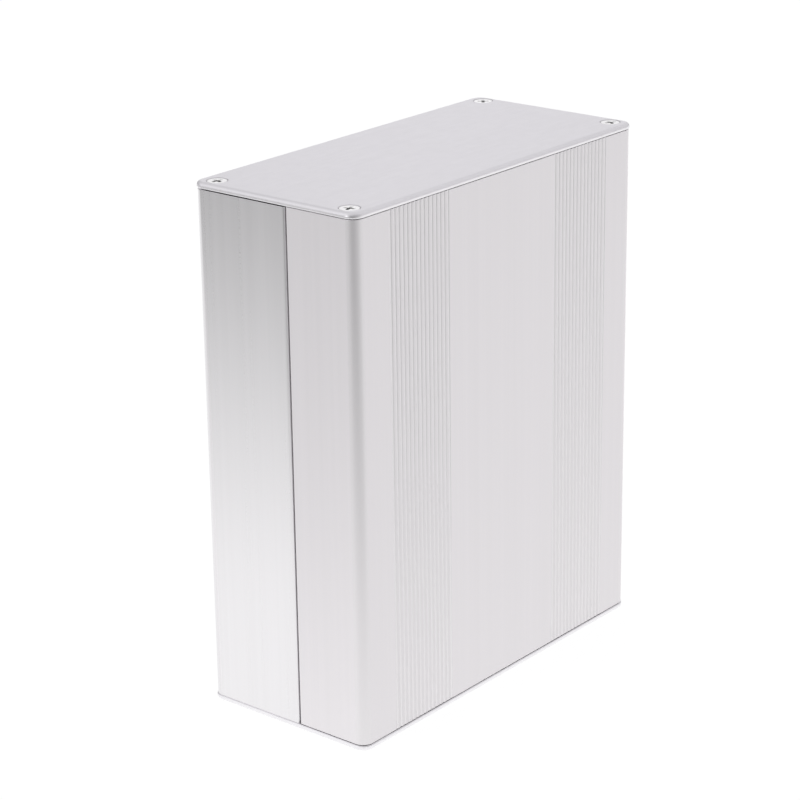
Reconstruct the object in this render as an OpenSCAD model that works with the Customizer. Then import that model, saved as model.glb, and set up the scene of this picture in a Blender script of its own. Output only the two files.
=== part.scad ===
// Split-body extruded aluminium enclosure, standing on one end plate.
// X is the width of the grooved faces, Y the depth through both shells, Z the extrusion axis.
// The origin is at the middle of the underside of the bottom end plate.
// Both shells are lengths of one extrusion: the rear one is turned half a turn about Z.

/* [Shells] */
// Width of the grooved faces
body_w = 110; // [90:1:160]
// Depth through both shells
body_d = 50; // [46:1:80]
// Length of the extruded shells
shell_l = 131.2; // [60:0.1:250]
// Play of the shells between the end plates
end_play = 0.3; // [0:0.05:0.4]
// Thickness of the grooved wide walls
face_t = 2; // [1.6:0.1:2.6]
// Thickness of the narrow side walls
side_t = 2; // [1.6:0.1:2.6]
// Outer corner radius of the extrusion
corner_r = 3; // [1.5:0.1:4]

/* [Grooves] */
// Grooves in each band
groove_count = 15; // [5:1:17]
// Distance from one groove to the next
groove_pitch = 1.52; // [1.2:0.02:1.7]
// Width of a groove at the surface
groove_w = 0.8; // [0.6:0.05:1]
// Depth of a groove
groove_depth = 0.18; // [0.1:0.02:0.4]
// Distance from the middle of the face to the middle of a band
band_x = 31.9; // [22:0.1:33]

/* [Seam] */
// Distance of each seam from the middle of the depth
seam_off = 4.1; // [2.6:0.1:5]
// Open line between the two shells at the outer face
seam_gap = 0.6; // [0.2:0.05:0.8]
// Rounding of the long wall's outer edge at the seam
seam_r = 0.8; // [0.3:0.05:1.2]
// Rounding of the short wall's outer edge at the seam
seam_edge_r = 0.2; // [0.1:0.05:0.6]
// Thickness of the tongue on the long wall
tongue_t = 1; // [0.8:0.1:1.4]
// Reach of the tongue into its socket
tongue_l = 2.4; // [1.6:0.1:2.8]
// Clearance round the tongue in its socket
tongue_clear = 0.1; // [0.05:0.05:0.2]
// Thickness of the socket's inner rib and floor
socket_t = 1.2; // [0.8:0.1:1.4]

/* [Card slots] */
// Width of the slot that holds a circuit board's edge
card_w = 1.9; // [1.2:0.1:2.2]
// Thickness of the ribs on both sides of a slot
rib_t = 1.4; // [1:0.1:1.6]
// Reach of the ribs from the side wall
rib_reach = 2.6; // [1.6:0.1:4]

/* [Screw channels] */
// Distance of a screw's axis from the narrow outer face
screw_inset_x = 3.7; // [3.5:0.1:5]
// Distance of a screw's axis from the wide outer face
screw_inset_y = 4.6; // [3.5:0.1:5]
// Wall of the channel round its bore
channel_wall = 1.7; // [1.2:0.1:2]
// Width of the channel's open side
channel_slot = 1.6; // [1:0.1:1.8]

/* [End plates] */
// Thickness of an end plate
plate_t = 1.5; // [1.5:0.1:3]
// Overhang of an end plate past the shells
plate_over = 0.2; // [0:0.05:0.6]
// Rounding of an end plate's outer edge
plate_edge_r = 1; // [0.3:0.05:1]
// Rounding of an end plate's inner edge
plate_inner_r = 0.3; // [0.1:0.05:0.45]

/* [Screws] */
// Shank diameter, at the thread's pitch line
shank_d = 2.65; // [2.2:0.05:2.8]
// Diameter of the countersunk head
head_d = 4.8; // [4.4:0.1:5.6]
// Height of the head
head_h = 1.2; // [0.9:0.05:1.3]
// Height of the straight rim on the head
head_rim = 0.1; // [0.05:0.05:0.3]
// Length of the screw, head included
screw_l = 8; // [6:0.5:16]
// Depth of the head below the plate's face
head_sink = 0.1; // [0:0.02:0.15]
// Clearance between a shank and its channel
shank_clear = 0.03; // [0.02:0.01:0.1]
// Clearance between a shank and the plate's hole
hole_clear = 0.25; // [0.1:0.05:0.4]
// Clearance round the head in its countersink
head_clear = 0.05; // [0.02:0.01:0.1]
// Span of the cross recess
recess_span = 3; // [2.4:0.1:3.4]
// Width of the cross recess's wings
recess_w = 0.8; // [0.5:0.05:1]
// Depth of the cross recess
recess_depth = 1.1; // [0.8:0.1:1.4]
// Taper of the shank's tip
tip_l = 0.5; // [0.3:0.1:0.8]

/* [Hidden] */
$fn = 64;

shell_colour = [0.83, 0.83, 0.85];
plate_colour = [0.85, 0.85, 0.87];
screw_colour = [0.92, 0.92, 0.92];

half_w = body_w / 2;
half_d = body_d / 2;
// Distance between the inner faces of the end plates
bay_l = shell_l + end_play;
total_l = bay_l + 2 * plate_t;

// The front shell's wall ends. Its short wall is at -X and its long wall at +X.
short_end = -seam_off - seam_gap / 2;
long_end = seam_off - seam_gap / 2;
// The other shell's long wall ends here at -X, and its root seats on this shell's socket here.
seat_y = short_end + seam_gap;
socket_w = tongue_t + 2 * tongue_clear;
socket_reach = socket_w + socket_t;
socket_depth = tongue_l + tongue_clear;

shank_r = shank_d / 2;
head_r = head_d / 2;
// Growth of the head's cone in radius for each millimetre of height
head_slope = (head_r - shank_r) / (head_h - head_rim);
bore_r = shank_r + shank_clear;
hole_r = shank_r + hole_clear;
channel_r = bore_r + channel_wall;
screw_x = half_w - screw_inset_x;
screw_y = half_d - screw_inset_y;
// Turn of each screw's cross recess, in the order of the corners below
screw_turns = [15, 62, 38, 80];
corners = [[-1, -1], [1, -1], [1, 1], [-1, 1]];

// The outer card slot lies midway between the screw channel and the seam socket's floor.
socket_floor = short_end - socket_depth - socket_t;
card_y = (-screw_y + channel_r + socket_floor) / 2;

groove_r = (groove_w * groove_w / 4 + groove_depth * groove_depth) / (2 * groove_depth);

// Flat outline of the body with round corners
module rounded_rect(w, d, r) {
    square([w - 2 * r, d], center = true);
    square([w, d - 2 * r], center = true);
    for (c = corners) translate([c[0] * (w / 2 - r), c[1] * (d / 2 - r)]) circle(r);
}

// What a rounding of radius r takes off a corner at the origin whose material lies at -X and -Y
module corner_waste(r) {
    difference() {
        translate([-r, -r]) square(2 * r);
        translate([-r, -r]) circle(r);
    }
}

// The U of walls of the front shell: one wide wall and two side walls of unequal length
module wall_section() {
    difference() {
        intersection() {
            rounded_rect(body_w, body_d, corner_r);
            union() {
                translate([-body_w, -body_d]) square([body_w, body_d + short_end]);
                translate([0, -body_d]) square([body_w, body_d + long_end]);
            }
        }
        square([body_w - 2 * side_t, body_d - 2 * face_t], center = true);
        translate([half_w, long_end]) corner_waste(seam_r);
        translate([-half_w, short_end]) mirror([1, 0]) corner_waste(seam_edge_r);
    }
}

// Screw channel in the corner at the side sx: a ring backed by the solid corner
module channel_section(sx) {
    intersection() {
        rounded_rect(body_w, body_d, corner_r);
        translate([sx * screw_x, -screw_y]) {
            circle(channel_r);
            mirror([sx < 0 ? 1 : 0, 0]) translate([0, -screw_inset_y]) square([screw_inset_x, screw_inset_y]);
        }
    }
}

// Bore of the screw channel, with its open side towards the inside of the body
module channel_bore(sx) {
    translate([sx * screw_x, -screw_y]) {
        circle(bore_r);
        rotate(sx > 0 ? 135 : 45) translate([0, -channel_slot / 2]) square([2 * channel_r, channel_slot]);
    }
}

// One round-ended rib on the side wall at sx, its middle at the height y
module rib(sx, y) {
    mirror([sx < 0 ? 1 : 0, 0]) translate([half_w - side_t - rib_reach + rib_t / 2, y]) {
        translate([0, -rib_t / 2]) square([rib_reach - rib_t / 2 + side_t / 2, rib_t]);
        circle(rib_t / 2);
    }
}

// Two ribs on the side wall at sx, with a card slot between them
module card_ribs(sx) {
    for (side = [-1, 1]) rib(sx, card_y + side * (card_w + rib_t) / 2);
}

// Socket inside the short wall: a floor and an inner rib that the other shell's root seats on
module seam_socket() {
    translate([-half_w + side_t / 2, socket_floor]) square([side_t / 2 + socket_reach, socket_t]);
    translate([-half_w + side_t + socket_w, socket_floor]) square([socket_t, seat_y - socket_floor]);
}

// Tongue inside the long wall. Its thickened root is one side of the middle card slot at y = 0.
module seam_tongue() {
    tongue_root = card_w / 2;
    tongue_tip = long_end + seam_gap + tongue_l;
    translate([half_w - side_t - socket_reach, tongue_root])
        square([socket_reach + side_t / 2, long_end - tongue_root]);
    translate([half_w - side_t - tongue_clear - tongue_t, tongue_root])
        square([tongue_t, tongue_tip - tongue_root]);
    rib(1, -(card_w + rib_t) / 2);
}

// Two mirrored bands of half-round grooves along the wide face
module groove_section() {
    for (side = [-1, 1], i = [0 : groove_count - 1])
        translate([
            side * band_x + (i - (groove_count - 1) / 2) * groove_pitch,
            -half_d + groove_depth - groove_r
        ]) circle(groove_r);
}

// Full section of the extrusion
module shell_section() {
    difference() {
        union() {
            wall_section();
            for (sx = [-1, 1]) {
                channel_section(sx);
                card_ribs(sx);
            }
            seam_socket();
            seam_tongue();
        }
        for (sx = [-1, 1]) channel_bore(sx);
        groove_section();
    }
}

module shell() {
    color(shell_colour) translate([0, 0, plate_t]) linear_extrude(shell_l) shell_section();
}

// The front shell stands midway between the end plates
module front_shell() {
    translate([0, 0, end_play / 2]) shell();
}

// The rear shell stands on the bottom end plate
module rear_shell() {
    rotate([0, 0, 180]) shell();
}

// Section of an end plate from an axis out to its rounded rim, with its outer face upwards
module rim_section(reach) {
    difference() {
        square([reach, plate_t]);
        translate([reach, plate_t]) corner_waste(plate_edge_r);
        translate([reach, 0]) mirror([0, 1]) corner_waste(plate_inner_r);
    }
}

// End plate without holes, its inner face at z = 0: a core, four straight rims and four round corners
module plate_blank() {
    r = corner_r + plate_over;
    core_w = body_w + 2 * plate_over - 2 * r;
    core_d = body_d + 2 * plate_over - 2 * r;
    translate([-core_w / 2, -core_d / 2, 0]) cube([core_w, core_d, plate_t]);
    for (turn = [0, 180]) rotate([0, 0, turn]) {
        translate([core_w / 2, core_d / 2, 0]) rotate([90, 0, 0]) linear_extrude(core_d) rim_section(r);
        translate([-core_w / 2, core_d / 2, 0]) rotate([90, 0, 90]) linear_extrude(core_w) rim_section(r);
        translate([core_w / 2, core_d / 2, 0]) rotate_extrude(angle = 90) rim_section(r);
        translate([-core_w / 2, core_d / 2, 0]) rotate([0, 0, 90]) rotate_extrude(angle = 90) rim_section(r);
    }
}

// Countersunk hole for one screw, with its mouth at z = 0 and its cone parallel to the head's
module screw_hole() {
    mouth_r = head_r + head_clear + head_slope * (head_rim + head_sink);
    cone_h = (mouth_r - hole_r) / head_slope;
    translate([0, 0, -2 * plate_t]) cylinder(h = 4 * plate_t, r = hole_r);
    translate([0, 0, -cone_h])
        cylinder(h = 2 * cone_h, r1 = hole_r, r2 = hole_r + 2 * cone_h * head_slope);
}

module end_plate() {
    color(plate_colour) difference() {
        plate_blank();
        for (c = corners) translate([c[0] * screw_x, c[1] * screw_y, plate_t]) screw_hole();
    }
}

module top_end_plate() {
    translate([0, 0, plate_t + bay_l]) end_plate();
}

module bottom_end_plate() {
    translate([0, 0, plate_t]) rotate([180, 0, 0]) end_plate();
}

// Cross recess, its mouth at z = 0: two wings that taper to a point at the bottom
module cross_recess() {
    intersection() {
        union() {
            for (turn = [0, 90]) rotate([0, 0, turn])
                translate([-recess_span, -recess_w / 2, -recess_depth])
                    cube([2 * recess_span, recess_w, 2 * recess_depth]);
        }
        translate([0, 0, -recess_depth])
            cylinder(h = 2 * recess_depth, r1 = recess_w / 2, r2 = recess_span - recess_w / 2);
    }
}

// Countersunk screw, its head's face at z = 0 and its shank below
module screw() {
    difference() {
        rotate_extrude() polygon([
            [0, -screw_l],
            [shank_r - tip_l, -screw_l],
            [shank_r, -screw_l + tip_l],
            [shank_r, -head_h],
            [head_r, -head_rim],
            [head_r, 0],
            [0, 0]
        ]);
        cross_recess();
    }
}

// The four screws of one end plate, their heads' faces at z = 0
module screw_set() {
    color(screw_colour) for (i = [0 : 3])
        translate([corners[i][0] * screw_x, corners[i][1] * screw_y, 0])
            rotate([0, 0, screw_turns[i]]) screw();
}

module top_screws() {
    translate([0, 0, total_l - head_sink]) screw_set();
}

module bottom_screws() {
    translate([0, 0, head_sink]) rotate([180, 0, 0]) screw_set();
}

front_shell();
rear_shell();
top_end_plate();
bottom_end_plate();
top_screws();
bottom_screws();
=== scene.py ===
"""Looks of the split-body aluminium enclosure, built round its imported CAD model.

Sizes are in millimetres and repeat the CAD's. Meshes and finishes scale them to metres where they are made.
X is the width of the grooved faces, Y the depth through both shells, Z the extrusion axis.
"""
import math

import bmesh
import bpy
import numpy as np
from mathutils import Matrix, Vector


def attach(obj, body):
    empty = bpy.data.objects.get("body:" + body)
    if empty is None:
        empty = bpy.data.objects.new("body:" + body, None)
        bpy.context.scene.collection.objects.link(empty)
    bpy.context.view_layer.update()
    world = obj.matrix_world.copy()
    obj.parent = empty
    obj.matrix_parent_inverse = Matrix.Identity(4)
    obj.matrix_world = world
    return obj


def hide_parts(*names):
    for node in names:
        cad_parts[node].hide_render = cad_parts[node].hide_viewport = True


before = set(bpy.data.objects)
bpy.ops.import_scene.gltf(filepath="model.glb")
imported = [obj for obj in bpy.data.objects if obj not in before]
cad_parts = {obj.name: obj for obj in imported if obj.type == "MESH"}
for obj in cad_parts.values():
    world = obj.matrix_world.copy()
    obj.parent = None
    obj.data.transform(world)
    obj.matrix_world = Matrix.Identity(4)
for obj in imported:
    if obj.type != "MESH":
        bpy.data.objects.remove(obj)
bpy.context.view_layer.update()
scene = bpy.context.scene
scene.view_settings.view_transform = "Standard"

MM = 0.001

# Shells
HALF_W, HALF_D = 55.0, 25.0
SHELL_L = 131.2
END_PLAY = 0.3
WALL = 2.0
CORNER_R = 3.0
CUT_EDGE, CUT_HOLD = 0.1, 0.2
# Groove bands
GROOVES = 15
GROOVE_PITCH = 1.52
GROOVE_W, GROOVE_DEPTH = 0.8, 0.18
GROOVE_R = (GROOVE_W**2 / 4 + GROOVE_DEPTH**2) / (2 * GROOVE_DEPTH)
LIP_R = 0.12
BAND_X = 31.9
BAND_HALF = (GROOVES - 1) / 2 * GROOVE_PITCH + GROOVE_W / 2
# Seam between the shells
SHORT_END, LONG_END = -4.4, 3.8
SEAM_X, SEAM_Y = 54.3, 4.1
SEAM_GAP = 0.6
SEAM_R, SEAM_EDGE_R, SEAM_HOLD = 0.8, 0.2, 0.1
TONGUE_T, TONGUE_L, TONGUE_CLEAR = 1.0, 2.4, 0.1
TONGUE_TIP_R, TONGUE_ROOT_R = 0.25, 0.1
SOCKET_T = 1.2
SOCKET_W = TONGUE_T + 2 * TONGUE_CLEAR
SOCKET_R = 0.1
# Card slots and their ribs
CARD_W, CARD_Y = 1.9, -12.7225
RIB_T, RIB_REACH = 1.4, 2.6
RIB_TIP_R = RIB_T / 2 - 0.02
INNER_R = 0.18
# Screw channels, open in this direction in degrees
SCREW_X, SCREW_Y = 51.3, 20.4
BORE_R, RING_R = 1.355, 3.055
BORE_LIP_R, RING_LIP_R = 0.06, 0.12
CHANNEL_SLOT, CHANNEL_WAY = 1.6, 135
# End plates
PLATE_T, PLATE_OVER = 1.5, 0.2
PLATE_HALF_W, PLATE_HALF_D = HALF_W + PLATE_OVER, HALF_D + PLATE_OVER
PLATE_R = CORNER_R + PLATE_OVER
PLATE_EDGE_R, PLATE_INNER_R, RIM_HOLD = 1.0, 0.3, 0.1
HOLE_R, HOLE_EDGE, HOLE_HOLD = 1.575, 0.05, 0.1
MOUTH_R, MOUTH_EDGE, MOUTH_BEND = 2.6455, 0.05, 0.3
FLAT_RING, CONE_HOLD = 0.2, 0.15
# Screws
SHANK_R, HEAD_R = 1.325, 2.4
HEAD_H, HEAD_RIM, HEAD_SINK = 1.2, 0.1, 0.1
HEAD_EDGE_R, HEAD_HOLD = 0.06, 0.1
HEAD_SLOPE = (HEAD_R - SHANK_R) / (HEAD_H - HEAD_RIM)
SCREW_L, TIP_L, TIP_EDGE = 8.0, 0.5, 0.1
RECESS_R, RECESS_W, RECESS_DEPTH = 1.5, 0.8, 1.1
RECESS_TIP_R, RECESS_NARROWING = 0.4, 0.25
RECESS_LIP, RECESS_LIP_DEPTH, RECESS_HOLD = 0.04, 0.03, 0.06
RECESS_SHARES = (1.0, 0.9, 0.6, 0.3, 0.1, 0.04, 0.0)
ARM_POWER, CROSS_POWER = 7, 12
THREAD_PITCH, THREAD_CORE, THREAD_CREST = 1.1, 1.08, 1.345
THREAD_START, THREAD_RUN_IN = 0.1, 0.6
THREAD_VALLEY, THREAD_FLANK = 0.25, 0.65
SCREW_TURNS = (15, 62, 38, 80)
CORNERS = ((-1, -1), (1, -1), (1, 1), (-1, 1))
TOTAL_L = SHELL_L + END_PLAY + 2 * PLATE_T
# Meshes: a held point keeps the flat beside a rounding flat
HOLD, LEAST_HOLD, HOLD_SHARE = 0.12, 0.02, 0.4
GROOVE_POINTS, CUT_POINTS, RIM_POINTS, HEAD_POINTS = 9, 6, 7, 5
PLATE_RAYS, SCREW_POINTS, TURN_RINGS = 128, 144, 14
NEAR = 1e-6
MERGE_M = 1e-6
SHARP_DEG = 40
# Finishes: a mask rises between two distances from a middle plane, the seam, a screw's axis or its head
# Round corners: worn smoother, and painted darker as painted shade
RUB_AND_SHADE_X, RUB_AND_SHADE_Y = (51.9, 53.2), (22.05, 22.4)
# Walls in the seam: painted darker as painted shade between the shells
SEAM_FADE = (0.42, 0.55)
SEAM_WALL_IN, SEAM_WALL_OUT = (50.0, 50.5), (54.5, 54.8)
# Groove bands: painted darker as painted shade of their grooves
BAND_IN = (BAND_X - BAND_HALF - 0.1, BAND_X - BAND_HALF)
BAND_OUT = (BAND_X + BAND_HALF, BAND_X + BAND_HALF + 0.1)
OUTER_SKIN = (HALF_D - 0.4, HALF_D - 0.3)
LAND_SKIN = (HALF_D - 0.03, HALF_D - 0.005)
# Countersinks: painted darker as painted shade
SINK_FADE = (MOUTH_R, MOUTH_R + 0.06)
# Screw recesses: painted darker with depth as painted shade
RECESS_FADE = (RECESS_R + 0.1, RECESS_R + 0.2)
RECESS_SHADE = (0.03, 0.4)
# Studio floor, in metres: each fall has its direction in degrees from -Y to -X, start, end and drop in tone
FLOOR_REACH = 40
FLOOR_FALLS = (
    (25, 0.136, 0.236, 0.025),
    (50, 0.094, 0.194, 0.025),
    (95, 0.160, 0.360, 0.275),
    (115, 0.126, 0.226, 0.089),
    (115, 0.326, 0.626, 0.235),
)
NEAR_CORNER_Y, NEAR_CORNER_X, NEAR_CORNER_DROP = (0.10, 0.20), (-0.03, 0.04), 0.30
FLOOR_GLOW, FLOOR_GLOW_SHARE = 1.06, 0.88
# Surroundings: each field of light has its direction, the power of its fall-off and its strength
HORIZON_LIGHT, OVERHEAD_LIGHT = 0.22, 0.47
SKY_COLOUR = (0.988, 0.978, 1.0, 1)
LIGHT_FIELDS = (
    ((0.73, 0.60, 0.34), 5.0, 0.26),
    ((0.745, 0.62, 0.12), 40.0, 0.475),
    ((0.80, -0.55, 0.20), 3.0, 0.345),
    ((-0.75, 0.60, 0.30), 4.0, 0.555),
)
# Camera, with its angles in degrees
VIEW_AZIMUTH, VIEW_ELEVATION, VIEW_ROLL = -50.459, 19.606, -0.804
VIEW_RIGHT, VIEW_UP, VIEW_DISTANCE = 6.158, -2.116, 646.34
LENS, SENSOR_W, CLIP_END_M = 114.645, 36, 50


class Socket:
    """A value inside a shader. An operator on it adds a Math node."""

    def __init__(self, graph, socket):
        self.graph = graph
        self.socket = socket

    def math(self, operation, *values):
        return self.graph.node("ShaderNodeMath", {"operation": operation}, values)

    def __add__(self, other):
        return self.math("ADD", self, other)

    def __radd__(self, other):
        return self.math("ADD", other, self)

    def __sub__(self, other):
        return self.math("SUBTRACT", self, other)

    def __rsub__(self, other):
        return self.math("SUBTRACT", other, self)

    def __mul__(self, other):
        return self.math("MULTIPLY", self, other)

    def __rmul__(self, other):
        return self.math("MULTIPLY", other, self)

    def __pow__(self, other):
        return self.math("POWER", self, other)

    def most(self, other):
        return self.math("MAXIMUM", self, other)

    def least(self, other):
        return self.math("MINIMUM", self, other)

    def size(self):
        return self.math("ABSOLUTE", self)


class Graph:
    """The shader nodes of one material or world."""

    def __init__(self, owner):
        owner.use_nodes = True
        self.tree = owner.node_tree
        self.tree.nodes.clear()

    def node(self, kind, settings=None, sockets=(), output=0):
        """Adds a node: its settings first, then its sockets' values or links.

        Returns one output, or several where output is a tuple."""
        made = self.tree.nodes.new(kind)
        for name, value in (settings or {}).items():
            setattr(made, name, value)
        for key, value in sockets.items() if isinstance(sockets, dict) else enumerate(sockets):
            if isinstance(value, Socket):
                self.tree.links.new(value.socket, made.inputs[key])
            else:
                made.inputs[key].default_value = value
        if isinstance(output, tuple):
            return tuple(Socket(self, made.outputs[o]) for o in output)
        return Socket(self, made.outputs[output]) if len(made.outputs) else None

    def axes(self, place, names):
        """The coordinates of a place that names lists, such as XY."""
        return self.node("ShaderNodeSeparateXYZ", sockets=[place], output=tuple(names))

    def smooth(self, value, low, high):
        """0 below low, 1 above high, and a smooth step between."""
        settings = {"interpolation_type": "SMOOTHSTEP"}
        sockets = {"Value": value, "From Min": low, "From Max": high}
        return self.node("ShaderNodeMapRange", settings, sockets)

    def past(self, square, fade):
        """A mask that rises between the two distances of fade. The square is of a distance in metres."""
        low, high = fade
        return self.smooth(square, (low * MM) ** 2, (high * MM) ** 2)

    def noise(self, place, stretch, scale, detail=2.0):
        """Noise from -1 to 1 on coordinates that are stretched first."""
        stretched = self.node("ShaderNodeMapping", {}, {"Vector": place, "Scale": stretch})
        sockets = {"Vector": stretched, "Scale": scale, "Detail": detail, "Roughness": 0.55}
        return self.node("ShaderNodeTexNoise", {}, sockets) * 2.0 - 1.0

    def grey(self, value):
        """The grey colour of a value."""
        return self.node("ShaderNodeCombineColor", {}, [value, value, value])

    def tint(self, colour, gain):
        """A colour times a value."""
        settings = {"data_type": "RGBA", "blend_type": "MULTIPLY"}
        return self.node("ShaderNodeMix", settings, {0: 1.0, 6: (*colour, 1), 7: self.grey(gain)}, 2)

    def from_screw(self, place):
        """Square of the distance from the nearest screw's axis, in metres."""
        x, y = self.axes(place, "XY")
        across, deep = x.size() - SCREW_X * MM, y.size() - SCREW_Y * MM
        return across * across + deep * deep

    def bump(self, height, relief):
        """A normal from a height between -1 and 1, with the relief in millimetres."""
        return self.node("ShaderNodeBump", {}, {"Strength": 1.0, "Distance": relief * MM, "Height": height})

    def metal(self, colour, roughness, normal):
        """Ends the graph in a fully metallic shader."""
        sockets = {"Base Color": colour, "Metallic": 1.0, "Roughness": roughness, "Normal": normal}
        shader = self.node("ShaderNodeBsdfPrincipled", {}, sockets)
        self.node("ShaderNodeOutputMaterial", {}, [shader])


def new_material(name):
    material = bpy.data.materials.new(name)
    return material, Graph(material)


def drawn_aluminium(name, colour, roughness):
    """Natural anodised extrusion: die lines and wider bands along Z over a fine etched grain.

    The round corners are worn smoother, and painted a little darker as painted shade. The groove bands are
    painted a little darker, as painted shade of their grooves, and have smoother grooves. The walls in the
    seam are painted darker, as painted shade between the shells. The seam lies where x times y is SEAM_X
    times
    SEAM_Y, which holds on both sides of the box."""
    material, g = new_material(name)
    place = g.node("ShaderNodeTexCoord", output="Object")
    bands = g.noise(place, stretch=(1, 1, 0.004), scale=260)
    streaks = g.noise(place, stretch=(1, 1, 0.006), scale=620)
    lines = g.noise(place, stretch=(1, 1, 0.012), scale=1500, detail=3)
    grain = g.noise(place, stretch=(1, 1, 0.5), scale=5200)
    x, y = g.axes(place, "XY")
    across, deep = x * x, y * y
    # The round corners are worn smoother, and painted 5 % darker as painted shade.
    rubbed_and_shaded = g.past(across, RUB_AND_SHADE_X) * g.past(deep, RUB_AND_SHADE_Y)
    # The walls inside the seam are painted 10 % darker as painted shade between the shells.
    off_seam = x * y * (1 / (SEAM_X * MM)) - SEAM_Y * MM
    seam_wall = g.past(across, SEAM_WALL_IN) - g.past(across, SEAM_WALL_OUT)
    seam_shade = (1.0 - g.past(off_seam * off_seam, SEAM_FADE)) * seam_wall
    # The groove bands are painted 4.5 % darker as painted shade of their grooves. Their grooves are also
    # smoother.
    band = (g.past(across, BAND_IN) - g.past(across, BAND_OUT)) * g.past(deep, OUTER_SKIN)
    sunk = band * (1.0 - g.past(deep, LAND_SKIN))
    gain = 1.0 + bands * 0.025 + streaks * 0.022 + lines * 0.014
    gain = gain - rubbed_and_shaded * 0.05 - seam_shade * 0.10 - band * 0.045
    rough = roughness - rubbed_and_shaded * 0.14 + bands * 0.03 + streaks * 0.04 + lines * 0.03 + grain * 0.02
    rough = rough * (1.0 - sunk * 0.32)
    height = lines * 0.6 + grain * 0.4
    g.metal(g.tint(colour, gain), rough, g.bump(height, relief=0.002))
    return material


def blasted_aluminium(name, colour, roughness):
    """Natural anodised sheet: a matt grain with faint rolling marks along X, and countersinks painted darker
    as painted shade.
    """
    material, g = new_material(name)
    place = g.node("ShaderNodeTexCoord", output="Object")
    grain = g.noise(place, stretch=(1, 1, 1), scale=2600, detail=3)
    clouds = g.noise(place, stretch=(1, 1, 1), scale=70)
    mottle = g.noise(place, stretch=(0.6, 1, 1), scale=380)
    rolled = g.noise(place, stretch=(0.03, 1, 1), scale=1100)
    # Round each screw hole the countersink is painted 20 % darker as painted shade.
    sink_shade = 1.0 - g.past(g.from_screw(place), SINK_FADE)
    gain = 1.0 + clouds * 0.012 + mottle * 0.03 + grain * 0.03 + rolled * 0.02 - sink_shade * 0.2
    rough = roughness + grain * 0.05 + clouds * 0.02
    g.metal(g.tint(colour, gain), rough, g.bump(grain, relief=0.006))
    return material


def nickel_plate(name, colour, roughness):
    """Bright nickel on the pressed screws, a little cloudy, and painted darker down in the recess as painted
    shade.
    """
    material, g = new_material(name)
    place = g.node("ShaderNodeTexCoord", output="Object")
    clouds = g.noise(place, stretch=(1, 1, 1), scale=900, detail=3)
    (z,) = g.axes(place, "Z")
    # Down in the cross recess the colour is painted up to 80 % darker with depth, as painted shade.
    depth = (z - HEAD_SINK * MM).least((TOTAL_L - HEAD_SINK) * MM - z)
    inside = 1.0 - g.past(g.from_screw(place), RECESS_FADE)
    recess_shade = g.smooth(depth, RECESS_SHADE[0] * MM, RECESS_SHADE[1] * MM) * inside
    gain = (1.0 + clouds * 0.05) * (1.0 - recess_shade * 0.8)
    g.metal(g.tint(colour, gain), roughness + clouds * 0.04, g.bump(clouds, relief=0.002))
    return material


def grid_faces(rows, columns, closed):
    """Quads between the neighbouring rows of a grid of points.

    A closed grid joins its last column to its first."""
    index = np.arange(rows * columns).reshape(rows, columns)
    if closed:
        index = np.concatenate([index, index[:, :1]], axis=1)
    quads = [index[:-1, :-1], index[:-1, 1:], index[1:, 1:], index[1:, :-1]]
    return np.stack(quads, axis=-1).reshape(-1, 4)


def make_piece(name, node, material, patches, caps=()):
    """One mesh from patches of (points, faces). Doubles are merged, and caps are flat with sharp borders."""
    points = np.concatenate([patch[0] for patch in patches]) * MM
    starts = np.cumsum([0] + [len(patch[0]) for patch in patches[:-1]])
    faces = np.concatenate([patch[1] + start for start, patch in zip(starts, patches)]).tolist()
    mesh = bpy.data.meshes.new(name)
    mesh.from_pydata(points.tolist(), [], faces + [cap.tolist() for cap in caps])
    work = bmesh.new()
    work.from_mesh(mesh)
    work.faces.ensure_lookup_table()
    flats = work.faces[len(faces):]
    for edge in {edge for face in flats for edge in face.edges}:
        edge.smooth = False
    bmesh.ops.remove_doubles(work, verts=work.verts, dist=MERGE_M)
    bmesh.ops.triangulate(work, faces=[face for face in work.faces if len(face.verts) > 4])
    bmesh.ops.recalc_face_normals(work, faces=work.faces)
    work.to_mesh(mesh)
    work.free()
    mesh.shade_smooth()
    mesh.set_sharp_from_angle(angle=math.radians(SHARP_DEG))
    mesh.materials.append(material)
    piece = bpy.data.objects.new(name, mesh)
    scene.collection.objects.link(piece)
    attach(piece, "root")
    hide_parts(node)
    return piece


def arc(x, y, radius, start, end, steps, ends=0.0, hold=0.0):
    """Corners along a circle, its angle running evenly from start to end in degrees.

    The two end corners take the rounding ends. With hold, one more point lies that far along each tangent."""
    angle = np.radians(np.linspace(start, end, steps + 1))
    level = np.zeros(steps + 1)
    corners = np.column_stack([x + radius * np.cos(angle), y + radius * np.sin(angle), level])
    corners[[0, -1], 2] = ends
    if hold:
        way = math.copysign(hold, end - start)
        tangent = np.column_stack([-np.sin(angle), np.cos(angle), level]) * way
        corners = np.concatenate([corners[:1] - tangent[:1], corners, corners[-1:] + tangent[-1:]])
    return corners


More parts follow.
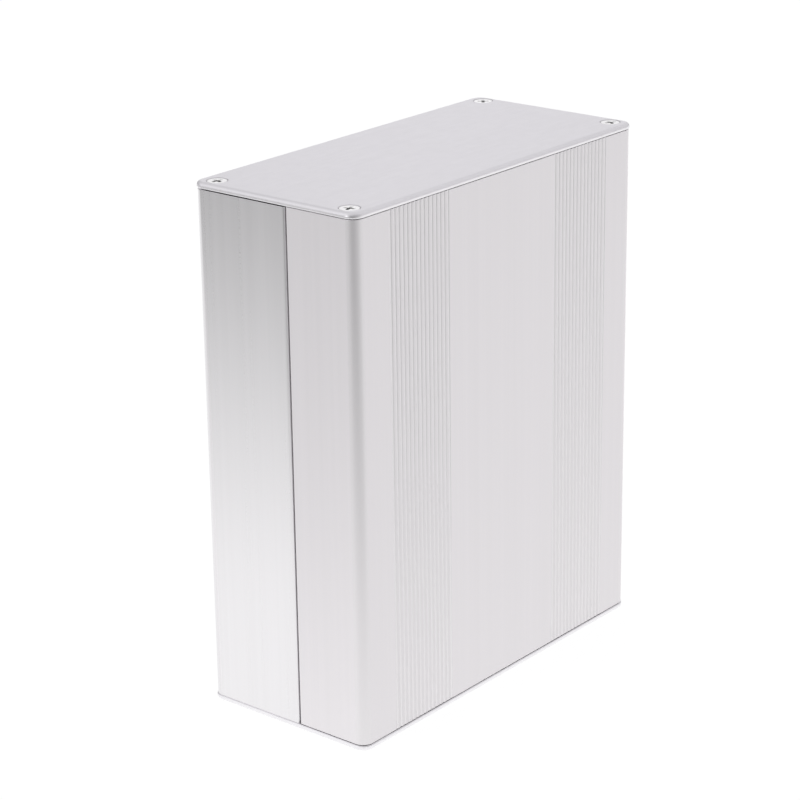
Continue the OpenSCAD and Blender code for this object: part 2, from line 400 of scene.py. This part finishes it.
def rounded(corners, steps=5):
    """Points along a closed polygon of corners (x, y, r), each turned into an arc of its radius r.

    The arc touches both sides at r tan(turn / 2) from the corner. One more point lies on each side just off
    the arc, so that the flat beside it shades flat. A corner of radius 0 stays one point."""
    point, radius = corners[:, :2], corners[:, 2]
    side = np.roll(point, -1, axis=0) - point
    length = np.linalg.norm(side, axis=1)
    after = side / length[:, None]
    before = np.roll(after, 1, axis=0)
    turn = np.arctan2(
        before[:, 0] * after[:, 1] - before[:, 1] * after[:, 0], (before * after).sum(axis=1)
    )
    reach = radius * np.tan(np.abs(turn) / 2)
    free = length - reach - np.roll(reach, -1)
    hold_after = np.minimum(HOLD, HOLD_SHARE * free)
    hold_before = np.roll(hold_after, 1)
    start = point - before * reach[:, None]
    end = point + after * reach[:, None]
    left = np.column_stack([-before[:, 1], before[:, 0]])
    centre = start + left * (np.sign(turn) * radius)[:, None]
    spoke = start - centre
    angle = turn[:, None] * np.linspace(0, 1, steps + 1)
    bend = np.stack(
        [
            centre[:, :1] + np.cos(angle) * spoke[:, :1] - np.sin(angle) * spoke[:, 1:],
            centre[:, 1:] + np.sin(angle) * spoke[:, :1] + np.cos(angle) * spoke[:, 1:],
        ],
        axis=-1,
    )
    first = (start - before * hold_before[:, None])[:, None]
    last = (end + after * hold_after[:, None])[:, None]
    points = np.concatenate([first, bend, last], axis=1)
    kept = np.repeat(radius[:, None] > 0, steps + 3, axis=1)
    kept[:, 0] &= hold_before > LEAST_HOLD
    kept[:, -1] &= hold_after > LEAST_HOLD
    kept[radius == 0, 1] = True
    return points[kept]


def groove_band(middle):
    """Corners along one band of round-bottomed grooves, from -X to +X.

    A groove is an arc of a circle whose centre lies outside the face: at the angle a from straight in,
    x = its middle + R sin a and y = face + depth - R + R cos a. Its two lips are rounded."""
    half = math.asin(GROOVE_W / 2 / GROOVE_R)
    angle = np.linspace(-half, half, GROOVE_POINTS)
    x = middle + GROOVE_PITCH * (np.arange(GROOVES) - (GROOVES - 1) / 2)
    corners = np.zeros((GROOVES, GROOVE_POINTS, 3))
    corners[..., 0] = x[:, None] + GROOVE_R * np.sin(angle)
    corners[..., 1] = -HALF_D + GROOVE_DEPTH - GROOVE_R + GROOVE_R * np.cos(angle)
    corners[:, [0, -1], 2] = LIP_R
    return corners.reshape(-1, 3)


def rib(y):
    """Corners of one round-ended rib on the wall at +X, from its upper side to its underside."""
    root, tip, half = HALF_W - WALL, HALF_W - WALL - RIB_REACH, RIB_T / 2
    return np.array([
        [root, y + half, INNER_R],
        [tip, y + half, RIB_TIP_R],
        [tip, y - half, RIB_TIP_R],
        [root, y - half, INNER_R],
    ])


def screw_channel():
    """Corners round the screw channel at +X, from the side wall to the wide wall.

    They follow the ring to the open side, go in along it, round the bore and out again to the ring. A slot
    of width w meets a circle of radius r at asin(w / 2r) on each side of its own direction."""
    on_side = math.degrees(math.acos((HALF_W - WALL - SCREW_X) / RING_R))
    on_face = 270 - math.degrees(math.acos((HALF_D - WALL - SCREW_Y) / RING_R))
    ring_gap = math.degrees(math.asin(CHANNEL_SLOT / 2 / RING_R))
    bore_gap = math.degrees(math.asin(CHANNEL_SLOT / 2 / BORE_R))
    into_bore, out_of_bore = CHANNEL_WAY - bore_gap, CHANNEL_WAY - 360 + bore_gap
    return np.concatenate([
        arc(SCREW_X, -SCREW_Y, RING_R, on_side, CHANNEL_WAY - ring_gap, steps=16, ends=RING_LIP_R),
        arc(SCREW_X, -SCREW_Y, BORE_R, into_bore, out_of_bore, steps=40, ends=BORE_LIP_R),
        arc(SCREW_X, -SCREW_Y, RING_R, CHANNEL_WAY + ring_gap, on_face, steps=22, ends=RING_LIP_R),
    ])


def shell_section():
    """Outline of the extrusion's section, once round with its material on the left.

    It runs down the short wall, along the grooved face, up the long wall and its tongue, and back along the
    inside: ribs, screw channels and the socket in the short wall."""
    inner = HALF_W - WALL
    tongue = inner - TONGUE_CLEAR
    reach = inner - SOCKET_W - SOCKET_T
    tip = LONG_END + SEAM_GAP + TONGUE_L
    floor = SHORT_END - TONGUE_L - TONGUE_CLEAR
    slot_side = (CARD_W + RIB_T) / 2
    side_details = np.concatenate([rib(CARD_Y + slot_side), rib(CARD_Y - slot_side), screw_channel()])
    tongue_side = np.array([
        [tongue, LONG_END, TONGUE_ROOT_R],
        [tongue, tip, TONGUE_TIP_R],
        [tongue - TONGUE_T, tip, TONGUE_TIP_R],
        [tongue - TONGUE_T, LONG_END, TONGUE_ROOT_R],
        [reach, LONG_END, INNER_R],
        [reach, CARD_W / 2, INNER_R],
        [inner, CARD_W / 2, INNER_R],
    ])
    socket_side = np.array([
        [-inner, floor - SOCKET_T, INNER_R],
        [-reach, floor - SOCKET_T, INNER_R],
        [-reach, SHORT_END + SEAM_GAP, INNER_R],
        [-reach - SOCKET_T, SHORT_END + SEAM_GAP, INNER_R],
        [-reach - SOCKET_T, floor, SOCKET_R],
        [-inner, floor, SOCKET_R],
        [-inner, SHORT_END, SOCKET_R],
    ])
    corner_x, corner_y = HALF_W - CORNER_R, CORNER_R - HALF_D
    short_x, short_y = SEAM_EDGE_R - HALF_W, SHORT_END - SEAM_EDGE_R
    long_x, long_y = HALF_W - SEAM_R, LONG_END - SEAM_R
    return rounded(np.concatenate([
        arc(short_x, short_y, SEAM_EDGE_R, 90, 180, steps=6, hold=SEAM_HOLD),
        arc(-corner_x, corner_y, CORNER_R, 180, 270, steps=24, hold=HOLD),
        groove_band(-BAND_X),
        groove_band(BAND_X),
        arc(corner_x, corner_y, CORNER_R, 270, 360, steps=24, hold=HOLD),
        arc(long_x, long_y, SEAM_R, 0, 90, steps=12, hold=SEAM_HOLD),
        tongue_side,
        rib(-slot_side),
        side_details,
        side_details[::-1] * (-1, 1, 1),
        socket_side,
    ]))


def below_outline(points):
    """How deep points lie under the body's outer outline, and the way straight in from it.

    With q = |p| - half size + corner radius r, the depth is r - |max(q, 0)| - min(max(qx, qy), 0)."""
    q = np.abs(points) - (HALF_W - CORNER_R, HALF_D - CORNER_R)
    past = np.maximum(q, 0)
    reach = np.linalg.norm(past, axis=1)
    depth = CORNER_R - reach - np.minimum(q.max(axis=1), 0)
    nearest = np.where(q == q.max(axis=1, keepdims=True), 1.0, 0.0)
    out = np.where(reach[:, None] > 0, past / np.maximum(reach, NEAR)[:, None], nearest)
    return depth, -out * np.sign(points)


def shell(name, node, material, half_turn):
    """The section carried along Z. At both cut ends its outer skin draws in round a small quarter circle.

    The shell with the half turn stands on the bottom plate, the other one midway in the end play."""
    section = shell_section()
    depth, inward = below_outline(section)
    bend = np.linspace(0, math.pi / 2, CUT_POINTS)
    inset = CUT_EDGE * (1 - np.sin(bend))
    rise = CUT_EDGE * (1 - np.cos(bend))
    inset = np.concatenate([inset, [0, 0], inset[::-1]])
    held = CUT_EDGE + CUT_HOLD
    z = np.concatenate([rise, [held, SHELL_L - held], SHELL_L - rise[::-1]])
    points = np.empty((len(z), len(section), 3))
    points[..., :2] = section + inward * np.maximum(inset[:, None] - depth, 0)[..., None]
    points[..., 2] = PLATE_T + z[:, None] + (0 if half_turn else END_PLAY / 2)
    if half_turn:
        points[..., :2] *= -1
    count = len(section)
    ring = np.arange(count)
    caps = [ring[::-1], ring + (len(z) - 1) * count]
    skin = (points.reshape(-1, 3), grid_faces(len(z), count, True))
    return make_piece(name, node, material, [skin], caps)


def plate_rays():
    """Rays from the screw hole's axis over one quarter of an end plate.

    Gives each ray's direction w, the point where it meets the plate's outline or middle lines, and the way
    out from the outline there, zero on the middle lines. With o the hole's place from the round corner's
    centre, a ray meets that corner of radius r at sqrt((w.o)^2 - o.o + r^2) - w.o."""
    centre_x, centre_y = PLATE_HALF_W - PLATE_R, PLATE_HALF_D - PLATE_R
    marks = np.array([
        [0, PLATE_HALF_D], [0, 0], [PLATE_HALF_W, 0], [PLATE_HALF_W, centre_y], [centre_x, PLATE_HALF_D]
    ])
    marks = np.arctan2(marks[:, 1] - SCREW_Y, marks[:, 0] - SCREW_X)
    even = np.linspace(-math.pi, math.pi, PLATE_RAYS + 1)[:-1]
    ray = np.unique(np.round(np.concatenate([even, marks]), 9))
    way = np.column_stack([np.cos(ray), np.sin(ray)])
    with np.errstate(divide="ignore"):
        to_x = np.where(way[:, 0] > 0, PLATE_HALF_W - SCREW_X, SCREW_X) / np.abs(way[:, 0])
        to_y = np.where(way[:, 1] > 0, PLATE_HALF_D - SCREW_Y, SCREW_Y) / np.abs(way[:, 1])
    edge = (SCREW_X, SCREW_Y) + way * np.minimum(to_x, to_y)[:, None]
    off = (SCREW_X - centre_x, SCREW_Y - centre_y)
    along = way @ np.array(off)
    to_arc = np.sqrt(along**2 - np.dot(off, off) + PLATE_R**2) - along
    on_arc = (edge[:, 0] > centre_x - NEAR) & (edge[:, 1] > centre_y - NEAR)
    edge[on_arc] = (SCREW_X, SCREW_Y) + way[on_arc] * to_arc[on_arc, None]
    out = np.where(on_arc[:, None], (edge - (centre_x, centre_y)) / PLATE_R, 0.0)
    out[~on_arc & (edge[:, 0] > PLATE_HALF_W - NEAR), 0] = 1.0
    out[~on_arc & (edge[:, 1] > PLATE_HALF_D - NEAR), 1] = 1.0
    return way, edge, out


def plate_face(way, edge, out):
    """Rings over one quarter of an end plate: its outside, down the countersink and hole, and its inside.

    The outer and inner rings follow the ends of the rays, drawn in by the edge rounding. Those between are
    circles round the hole's axis."""
    cone_z = PLATE_T - (MOUTH_R - HOLE_R) / HEAD_SLOPE
    bend = MOUTH_EDGE * MOUTH_BEND
    circles = [
        (MOUTH_R + FLAT_RING, PLATE_T),
        (MOUTH_R + MOUTH_EDGE, PLATE_T),
        (MOUTH_R + bend, PLATE_T - bend),
        (MOUTH_R - MOUTH_EDGE * HEAD_SLOPE, PLATE_T - MOUTH_EDGE),
        (MOUTH_R - CONE_HOLD * HEAD_SLOPE, PLATE_T - CONE_HOLD),
        (HOLE_R + HOLE_HOLD * HEAD_SLOPE, cone_z + HOLE_HOLD),
        (HOLE_R, cone_z),
        (HOLE_R, cone_z - HOLE_HOLD),
        (HOLE_R, HOLD),
        (HOLE_R, HOLE_EDGE),
        (HOLE_R + HOLE_EDGE, 0.0),
        (HOLE_R + FLAT_RING, 0.0),
    ]

    def drawn_in(inset, z):
        flat = np.minimum(edge - out * inset, (PLATE_HALF_W - inset, PLATE_HALF_D - inset))
        return np.column_stack([flat, np.full(len(way), z)])

    hole = [np.column_stack([(SCREW_X, SCREW_Y) + way * r, np.full(len(way), z)]) for r, z in circles]
    outside = [drawn_in(PLATE_EDGE_R, PLATE_T), drawn_in(PLATE_EDGE_R + HOLD, PLATE_T)]
    inside = [drawn_in(PLATE_INNER_R + HOLD, 0.0), drawn_in(PLATE_INNER_R, 0.0)]
    return np.stack(outside + hole + inside)


def plate_rim(edge, out):
    """The rim of one quarter of an end plate: a profile of two quarter circles carried along the outline."""
    bend = np.linspace(0, math.pi / 2, RIM_POINTS)
    inset = np.concatenate([
        PLATE_EDGE_R * (1 - np.sin(bend)), [0, 0], PLATE_INNER_R * (1 - np.sin(bend[::-1]))
    ])
    z = np.concatenate([
        PLATE_T - PLATE_EDGE_R * (1 - np.cos(bend)),
        [PLATE_T - PLATE_EDGE_R - RIM_HOLD, PLATE_INNER_R + RIM_HOLD],
        PLATE_INNER_R * (1 - np.cos(bend[::-1])),
    ])
    on_rim = np.flatnonzero(np.abs(out).sum(axis=1) > 0)
    start = np.flatnonzero(np.diff(on_rim) > 1)
    on_rim = np.roll(on_rim, -(start[0] + 1)) if len(start) else on_rim
    rim = np.empty((len(z), len(on_rim), 3))
    rim[..., :2] = edge[on_rim] - out[on_rim] * inset[:, None, None]
    rim[..., 2] = z[:, None]
    return rim


def end_plate(name, node, material, upwards):
    """An end plate made of four mirrored quarters, each a grid of rings round its screw hole and a rim."""
    way, edge, out = plate_rays()
    face, rim = plate_face(way, edge, out), plate_rim(edge, out)
    patches = []
    for corner in CORNERS:
        for points, closed in ((face, True), (rim, False)):
            faces = grid_faces(points.shape[0], points.shape[1], closed)
            patches.append(((points * (*corner, 1)).reshape(-1, 3), faces))
    place = np.array([1, 1, 1]) if upwards else np.array([1, -1, -1])
    lift = TOTAL_L - PLATE_T if upwards else PLATE_T
    patches = [(points * place + (0, 0, lift), faces) for points, faces in patches]
    return make_piece(name, node, material, patches)


def cross_outline(angle, span, half_w):
    """Radius of the cross recess at each angle: the power mean of two superellipses across each other."""
    across, along = np.abs(np.sin(angle)), np.abs(np.cos(angle))
    one = ((along / span) ** ARM_POWER + (across / half_w) ** ARM_POWER) ** (-1 / ARM_POWER)
    two = ((across / span) ** ARM_POWER + (along / half_w) ** ARM_POWER) ** (-1 / ARM_POWER)
    return (one**CROSS_POWER + two**CROSS_POWER) ** (1 / CROSS_POWER)


def screw_rings(angle):
    """Radii and heights of a screw's rings, from the bottom of its recess over the head down to its tip.

    The recess narrows with t, the share of its depth. The thread's radius is its core plus a ridge
    that follows z / pitch - angle / turn, and it grows out of the shank below the head."""
    rings = [(np.zeros_like(angle), -RECESS_DEPTH)]

    def circle(radius, z):
        rings.append((np.full_like(angle, radius), z))

    for t in RECESS_SHARES:
        span = RECESS_R + (RECESS_TIP_R - RECESS_R) * t
        outline = cross_outline(angle, span, RECESS_W / 2 * (1 - RECESS_NARROWING * t))
        rings.append((outline, -RECESS_DEPTH * t - RECESS_LIP_DEPTH))
    lip = cross_outline(angle, RECESS_R + RECESS_LIP, RECESS_W / 2 + RECESS_LIP)
    rings += [(lip, 0.0), (lip + RECESS_HOLD, 0.0)]
    circle(HEAD_R - HEAD_EDGE_R - HEAD_HOLD, 0.0)
    for b in np.linspace(0, math.pi / 2, HEAD_POINTS):
        circle(HEAD_R - HEAD_EDGE_R + HEAD_EDGE_R * math.sin(b), -HEAD_EDGE_R * (1 - math.cos(b)))
    circle(HEAD_R, -HEAD_RIM)
    circle(HEAD_R - HEAD_EDGE_R * HEAD_SLOPE, -HEAD_RIM - HEAD_EDGE_R)
    circle(SHANK_R + HEAD_EDGE_R * HEAD_SLOPE, -HEAD_H + HEAD_EDGE_R)
    circle(SHANK_R, -HEAD_H)
    for z in np.arange(-HEAD_H - THREAD_START, -SCREW_L + TIP_L, -THREAD_PITCH / TURN_RINGS):
        phase = np.mod(z / THREAD_PITCH - angle / (2 * math.pi), 1.0)
        ridge = np.clip((np.abs(2 * phase - 1) - THREAD_VALLEY) / THREAD_FLANK, 0, 1)
        start = np.clip((-HEAD_H - THREAD_START - z) / THREAD_RUN_IN, 0, 1)
        core = SHANK_R + (THREAD_CORE - SHANK_R) * start
        rings.append((core + (THREAD_CREST - core) * ridge * start, z))
    circle(THREAD_CORE, -SCREW_L + TIP_L)
    circle(THREAD_CORE - TIP_L + TIP_EDGE, -SCREW_L + TIP_EDGE)
    circle(THREAD_CORE - TIP_L, -SCREW_L)
    circle(0.0, -SCREW_L)
    return np.array([radius for radius, z in rings]), np.array([z for radius, z in rings])


def screw_set(name, node, material, upwards):
    """Four countersunk screws, each a grid of rings round its axis and turned by its own angle."""
    angle = np.linspace(0, 2 * math.pi, SCREW_POINTS + 1)[:-1]
    radius, height = screw_rings(angle)
    patches = []
    for (sx, sy), turn in zip(CORNERS, SCREW_TURNS):
        way = angle + math.radians(turn)
        points = np.stack(
            [
                sx * SCREW_X + radius * np.cos(way),
                sy * SCREW_Y + radius * np.sin(way),
                np.broadcast_to(height[:, None], radius.shape),
            ],
            axis=-1,
        )
        if upwards:
            points = points + (0, 0, TOTAL_L - HEAD_SINK)
        else:
            points = points * (1, -1, -1) + (0, 0, HEAD_SINK)
        patches.append((points.reshape(-1, 3), grid_faces(len(height), SCREW_POINTS, True)))
    return make_piece(name, node, material, patches)


def photo_camera():
    """The camera at the photograph's viewing angle: it looks from (sin a cos e, -cos a cos e, sin e)."""
    azimuth, elevation, roll = np.radians([VIEW_AZIMUTH, VIEW_ELEVATION, VIEW_ROLL]).tolist()
    flat = math.cos(elevation)
    back = Vector((math.sin(azimuth) * flat, -math.cos(azimuth) * flat, math.sin(elevation)))
    level = Vector((math.cos(azimuth), math.sin(azimuth), 0))
    upright = back.cross(level)
    right = level * math.cos(roll) + upright * math.sin(roll)
    up = upright * math.cos(roll) - level * math.sin(roll)
    middle = Vector((0, 0, TOTAL_L / 2))
    place = middle - right * VIEW_RIGHT - up * VIEW_UP + back * VIEW_DISTANCE
    data = bpy.data.cameras.new("camera")
    data.sensor_width = SENSOR_W
    data.lens = LENS
    data.clip_end = CLIP_END_M
    camera = bpy.data.objects.new("camera", data)
    turn = Matrix((right, up, back)).transposed().to_4x4()
    camera.matrix_world = Matrix.Translation(place * MM) @ turn
    scene.collection.objects.link(camera)
    scene.camera = camera


def studio_floor():
    """A wide floor that is plain white to the camera. To all other rays its tone falls off with distance.

    Camera, glossy and transmitted rays see mostly its own glow. The rest is lit, and keeps the object's
    shadow."""
    material, g = new_material("studio_floor")
    material.cycles.emission_sampling = "NONE"
    camera, glossy, through = g.node(
        "ShaderNodeLightPath", output=("Is Camera Ray", "Is Glossy Ray", "Is Transmission Ray")
    )
    seen = camera.most(glossy).most(through)
    place = g.node("ShaderNodeTexCoord", output="Object")
    x, y = g.axes(place, "XY")
    tone = 1.0
    for degrees, start, end, drop in FLOOR_FALLS:
        turn = math.radians(degrees)
        tone = tone - drop * g.smooth(x * -math.sin(turn) - y * math.cos(turn), start, end)
    near_corner = g.smooth(y * -1.0, *NEAR_CORNER_Y) * g.smooth(x * -1.0, *NEAR_CORNER_X)
    tone = tone - NEAR_CORNER_DROP * near_corner
    tone = tone + camera * (1.0 - tone)
    shade = g.grey(tone)
    diffuse = g.node("ShaderNodeBsdfDiffuse", {}, {"Color": shade})
    glow = g.node("ShaderNodeEmission", {}, {"Color": shade, "Strength": FLOOR_GLOW})
    mixed = g.node("ShaderNodeMixShader", {}, [seen * FLOOR_GLOW_SHARE, diffuse, glow])
    g.node("ShaderNodeOutputMaterial", {}, [mixed])
    reach = np.linspace(-FLOOR_REACH, FLOOR_REACH, 3)
    across, deep = np.meshgrid(reach, reach)
    points = np.stack([across, deep, np.zeros_like(across)], axis=-1).reshape(-1, 3)
    mesh = bpy.data.meshes.new("studio_floor")
    mesh.from_pydata(points.tolist(), [], grid_faces(len(reach), len(reach), False).tolist())
    mesh.materials.append(material)
    floor = bpy.data.objects.new("studio_floor", mesh)
    scene.collection.objects.link(floor)


def studio_world():
    """Soft surroundings: grey at the horizon, lighter overhead, with bright fields of cos^n fall-off."""
    world = bpy.data.worlds.new("studio_world")
    scene.world = world
    g = Graph(world)
    way = g.node("ShaderNodeTexCoord", output="Generated")
    x, y, z = g.axes(way, "XYZ")
    light = HORIZON_LIGHT + OVERHEAD_LIGHT * z.most(0.0)
    for direction, power, strength in LIGHT_FIELDS:
        axis = Vector(direction).normalized()
        facing = (x * axis.x + y * axis.y + z * axis.z).most(0.0)
        light = light + strength * facing**power
    background = g.node("ShaderNodeBackground", {}, {"Color": SKY_COLOUR, "Strength": light})
    g.node("ShaderNodeOutputWorld", {}, [background])


def soft_box(name, place, aim, size, power):
    """A square lamp that faces a point, with its places and size in metres and its power in watts."""
    data = bpy.data.lights.new(name, "AREA")
    data.shape = "SQUARE"
    data.size = size
    data.energy = power
    lamp = bpy.data.objects.new(name, data)
    lamp.location = place
    lamp.rotation_mode = "QUATERNION"
    lamp.rotation_quaternion = (Vector(aim) - Vector(place)).to_track_quat("-Z", "Y")
    scene.collection.objects.link(lamp)


photo_camera()
studio_floor()
studio_world()
soft_box("side_box", place=(-1.05, 0.20, 0.26), aim=(0, 0, 0.1), size=0.14, power=0.6)

front_finish = drawn_aluminium("front_shell_finish", colour=(0.885, 0.865, 0.879), roughness=0.62)
# The rear shell is the same extrusion as the front one; its slightly darker colour is painted shade.
rear_shaded_finish = drawn_aluminium("rear_shell_shaded_finish", colour=(0.864, 0.852, 0.866), roughness=0.30)
plate_finish = blasted_aluminium("plate_finish", colour=(0.905, 0.893, 0.915), roughness=0.40)
screw_finish = nickel_plate("screw_finish", colour=(0.96, 0.96, 0.95), roughness=0.10)

shell("front_half", "front_shell", front_finish, half_turn=False)
shell("rear_half", "rear_shell", rear_shaded_finish, half_turn=True)
end_plate("top_plate", "top_end_plate", plate_finish, upwards=True)
end_plate("bottom_plate", "bottom_end_plate", plate_finish, upwards=False)
screw_set("top_screw_set", "top_screws", screw_finish, upwards=True)
screw_set("bottom_screw_set", "bottom_screws", screw_finish, upwards=False)
